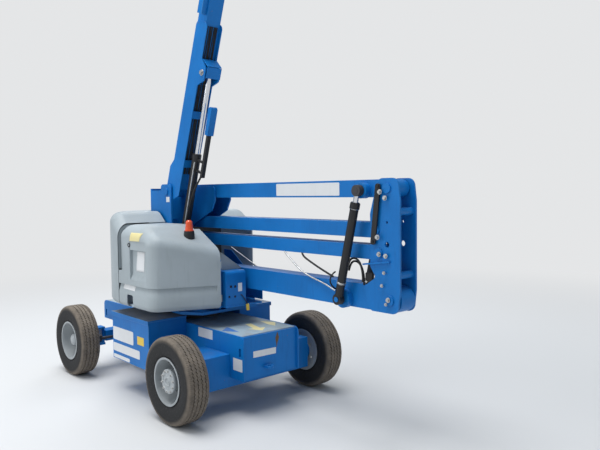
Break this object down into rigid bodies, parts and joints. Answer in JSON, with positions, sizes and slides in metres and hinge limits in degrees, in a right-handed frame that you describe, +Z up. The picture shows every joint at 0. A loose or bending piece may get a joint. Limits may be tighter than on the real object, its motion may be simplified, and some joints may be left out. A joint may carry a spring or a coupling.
{
  "type": "articulating boom lift",
  "caption": "Battery-driven articulating boom lift with a folding parallelogram riser, a telescopic boom, a railed work platform and four wheels",
  "frame": {"origin": "on the ground under the middle of the machine's overall box", "axes": "+X from the turntable towards the drive axle and the mid pivot, +Y to the machine's left, +Z up"},
  "size_m": [4.058, 1.83, 6.0497],
  "materials": {
    "blue_paint": "semi-gloss blue enamel, dusty, chipped at edges",
    "cover_plastic": "moulded light blue-grey plastic, fine grain",
    "deck_grey": "pale grey-blue non-slip plate, scuffed",
    "tyre_rubber": "worn rubber with brown dust on the tread",
    "rim_paint": "light grey wheel paint, scuffed",
    "cylinder_black": "satin black paint",
    "rod_chrome": "polished chrome plating",
    "dark_steel": "greasy dark steel",
    "beacon_orange": "translucent orange lens",
    "rail_paint": "blue enamel tube",
    "black_plastic": "black moulded plastic"
  },
  "bodies": {
    "root": {"chassis_frame": "blue_paint", "chassis_deck": "deck_grey", "battery_boxes": "blue_paint", "battery_lids": "blue_paint", "drive_axle": "blue_paint", "steer_axle": "blue_paint", "slew_ring": "dark_steel"},
    "knuckle_left": {"steer_knuckle_left": "dark_steel"},
    "knuckle_right": {"steer_knuckle_right": "dark_steel"},
    "steering_rod": {"tie_rod": "dark_steel"},
    "turntable": {"turntable_frame": "blue_paint", "valve_box": "blue_paint", "cover_rear": "cover_plastic", "counterweight": "dark_steel"},
    "side_cover": {"cover_right": "cover_plastic", "beacon": "beacon_orange"},
    "lower_arm": {"lower_arm": "blue_paint"},
    "lower_link": {"lower_link": "blue_paint"},
    "mid_pivot": {"mid_pivot": "blue_paint", "mid_link": "cylinder_black"},
    "upper_arm": {"upper_arm": "blue_paint"},
    "upper_link": {"upper_link": "blue_paint"},
    "riser_barrels": {"riser_barrels": "cylinder_black"},
    "riser_rods": {"riser_rods": "rod_chrome"},
    "upper_pivot": {"upper_pivot": "blue_paint"},
    "boom": {"boom": "blue_paint", "cable_track_tray": "blue_paint"},
    "boom_extension": {"boom_extension": "blue_paint"},
    "lift_barrel": {"lift_barrel": "cylinder_black"},
    "lift_rod": {"lift_rod": "rod_chrome"},
    "platform_bracket": {"platform_bracket": "blue_paint"},
    "platform": {"platform_mount": "blue_paint", "platform_floor": "deck_grey", "platform_rails": "rail_paint", "platform_console": "black_plastic"},
    "platform_gate": {"platform_gate": "rail_paint"},
    "wheel_drive_left": {"rim_drive_left": "rim_paint", "tyre_drive_left": "tyre_rubber"},
    "wheel_drive_right": {"rim_drive_right": "rim_paint", "tyre_drive_right": "tyre_rubber"},
    "wheel_steer_left": {"rim_steer_left": "rim_paint", "tyre_steer_left": "tyre_rubber"},
    "wheel_steer_right": {"rim_steer_right": "rim_paint", "tyre_steer_right": "tyre_rubber"}
  },
  "joints": [
    {"name": "wheel_drive_left_spin", "type": "hinge", "parent": "root", "child": "wheel_drive_left", "pos_m": [0.34, 0.755, 0.365], "axis": [0, 1, 0], "continuous": true},
    {"name": "wheel_drive_right_spin", "type": "hinge", "parent": "root", "child": "wheel_drive_right", "pos_m": [0.34, -0.755, 0.365], "axis": [0, 1, 0], "continuous": true},
    {"name": "steer_left", "type": "hinge", "parent": "root", "child": "knuckle_left", "pos_m": [-1.66, 0.59, 0.365], "axis": [0, 0, 1], "range_deg": [-40, 40]},
    {"name": "steer_right", "type": "hinge", "parent": "root", "child": "knuckle_right", "pos_m": [-1.66, -0.59, 0.365], "axis": [0, 0, 1], "range_deg": [-41, 41]},
    {"name": "steering_rod_slide", "type": "slide", "parent": "root", "child": "steering_rod", "axis": [0, 1, 0], "range_m": [-0.108, 0.108]},
    {"name": "wheel_steer_left_spin", "type": "hinge", "parent": "knuckle_left", "child": "wheel_steer_left", "pos_m": [-1.66, 0.755, 0.365], "axis": [0, 1, 0], "continuous": true},
    {"name": "wheel_steer_right_spin", "type": "hinge", "parent": "knuckle_right", "child": "wheel_steer_right", "pos_m": [-1.66, -0.755, 0.365], "axis": [0, 1, 0], "continuous": true},
    {"name": "turntable_swing", "type": "hinge", "parent": "root", "child": "turntable", "pos_m": [-0.56, 0, 0.76], "axis": [0, 0, 1], "range_deg": [-177.5, 177.5]},
    {"name": "side_cover_hinge", "type": "hinge", "parent": "turntable", "child": "side_cover", "pos_m": [0.217, -0.212, 0.93], "axis": [0, 0, 1], "range_deg": [0, 75]},
    {"name": "riser_lift", "type": "hinge", "parent": "turntable", "child": "lower_arm", "pos_m": [-0.66, 0.15, 1.116], "axis": [0, -1, 0], "range_deg": [0, 70]},
    {"name": "lower_link_turn", "type": "hinge", "parent": "turntable", "child": "lower_link", "pos_m": [-0.76, 0.15, 1.452], "axis": [0, -1, 0], "range_deg": [0, 71]},
    {"name": "mid_pivot_turn", "type": "hinge", "parent": "lower_arm", "child": "mid_pivot", "pos_m": [1.94, 0.15, 1.116], "axis": [0, -1, 0], "range_deg": [-71, 0]},
    {"name": "upper_arm_turn", "type": "hinge", "parent": "mid_pivot", "child": "upper_arm", "pos_m": [1.916, 0.15, 1.922], "axis": [0, -1, 0], "range_deg": [-71, 0]},
    {"name": "upper_link_turn", "type": "hinge", "parent": "mid_pivot", "child": "upper_link", "pos_m": [1.808, 0.15, 1.617], "axis": [0, -1, 0], "range_deg": [-71, 0]},
    {"name": "upper_pivot_turn", "type": "hinge", "parent": "upper_arm", "child": "upper_pivot", "pos_m": [-0.684, 0.15, 1.922], "axis": [0, -1, 0], "range_deg": [0, 71]},
    {"name": "riser_barrel_turn", "type": "hinge", "parent": "lower_arm", "child": "riser_barrels", "pos_m": [1.49, 0.15, 1.082], "axis": [0, -1, 0], "range_deg": [-57.48, 0]},
    {"name": "riser_rod_slide", "type": "slide", "parent": "riser_barrels", "child": "riser_rods", "axis": [0.2389, 0, 0.971], "range_m": [0, 0.5973]},
    {"name": "boom_lift", "type": "hinge", "parent": "upper_pivot", "child": "boom", "pos_m": [-0.601, -0.16, 1.923], "axis": [0, -1, 0], "range_deg": [-85.25, 4.75]},
    {"name": "lift_barrel_turn", "type": "hinge", "parent": "upper_pivot", "child": "lift_barrel", "pos_m": [-0.457, -0.16, 1.481], "axis": [0, -1, 0], "range_deg": [-78.9, 5.34]},
    {"name": "lift_rod_slide", "type": "slide", "parent": "lift_barrel", "child": "lift_rod", "axis": [0.3092, 0, 0.951], "range_m": [-0.6124, 0.037]},
    {"name": "boom_extend", "type": "slide", "parent": "boom", "child": "boom_extension", "axis": [0.3379, 0, 0.9412], "range_m": [0, 2.1]},
    {"name": "platform_level", "type": "hinge", "parent": "boom_extension", "child": "platform_bracket", "pos_m": [0.76591, -0.16, 5.46973], "axis": [0, -1, 0], "range_deg": [-5.75, 86.25]},
    {"name": "platform_rotate", "type": "hinge", "parent": "platform_bracket", "child": "platform", "pos_m": [0.96591, -0.16, 5.46973], "axis": [0, 0, 1], "range_deg": [-90, 90]},
    {"name": "platform_gate_hinge", "type": "hinge", "parent": "platform", "child": "platform_gate", "pos_m": [1.16591, -0.895, 5.01973], "axis": [0, 0, 1], "range_deg": [0, 85]}
  ],
  "couplings": [
    {"joint": "steer_right", "follows": "steer_left", "ratio": 1},
    {"joint": "steering_rod_slide", "follows": "steer_left", "m_per_rad": 0.15},
    {"joint": "lower_link_turn", "follows": "riser_lift", "ratio": 1},
    {"joint": "mid_pivot_turn", "follows": "riser_lift", "ratio": -1},
    {"joint": "upper_arm_turn", "follows": "riser_lift", "ratio": -1},
    {"joint": "upper_link_turn", "follows": "riser_lift", "ratio": -1},
    {"joint": "upper_pivot_turn", "follows": "riser_lift", "ratio": 1},
    {"joint": "riser_barrel_turn", "follows": "riser_lift", "ratio": -0.80682},
    {"joint": "riser_rod_slide", "follows": "riser_lift", "m_per_rad": 0.48728},
    {"joint": "lift_barrel_turn", "follows": "boom_lift", "ratio": 0.91383},
    {"joint": "lift_rod_slide", "follows": "boom_lift", "m_per_rad": 0.40959},
    {"joint": "platform_level", "follows": "boom_lift", "ratio": -1}
  ]
}
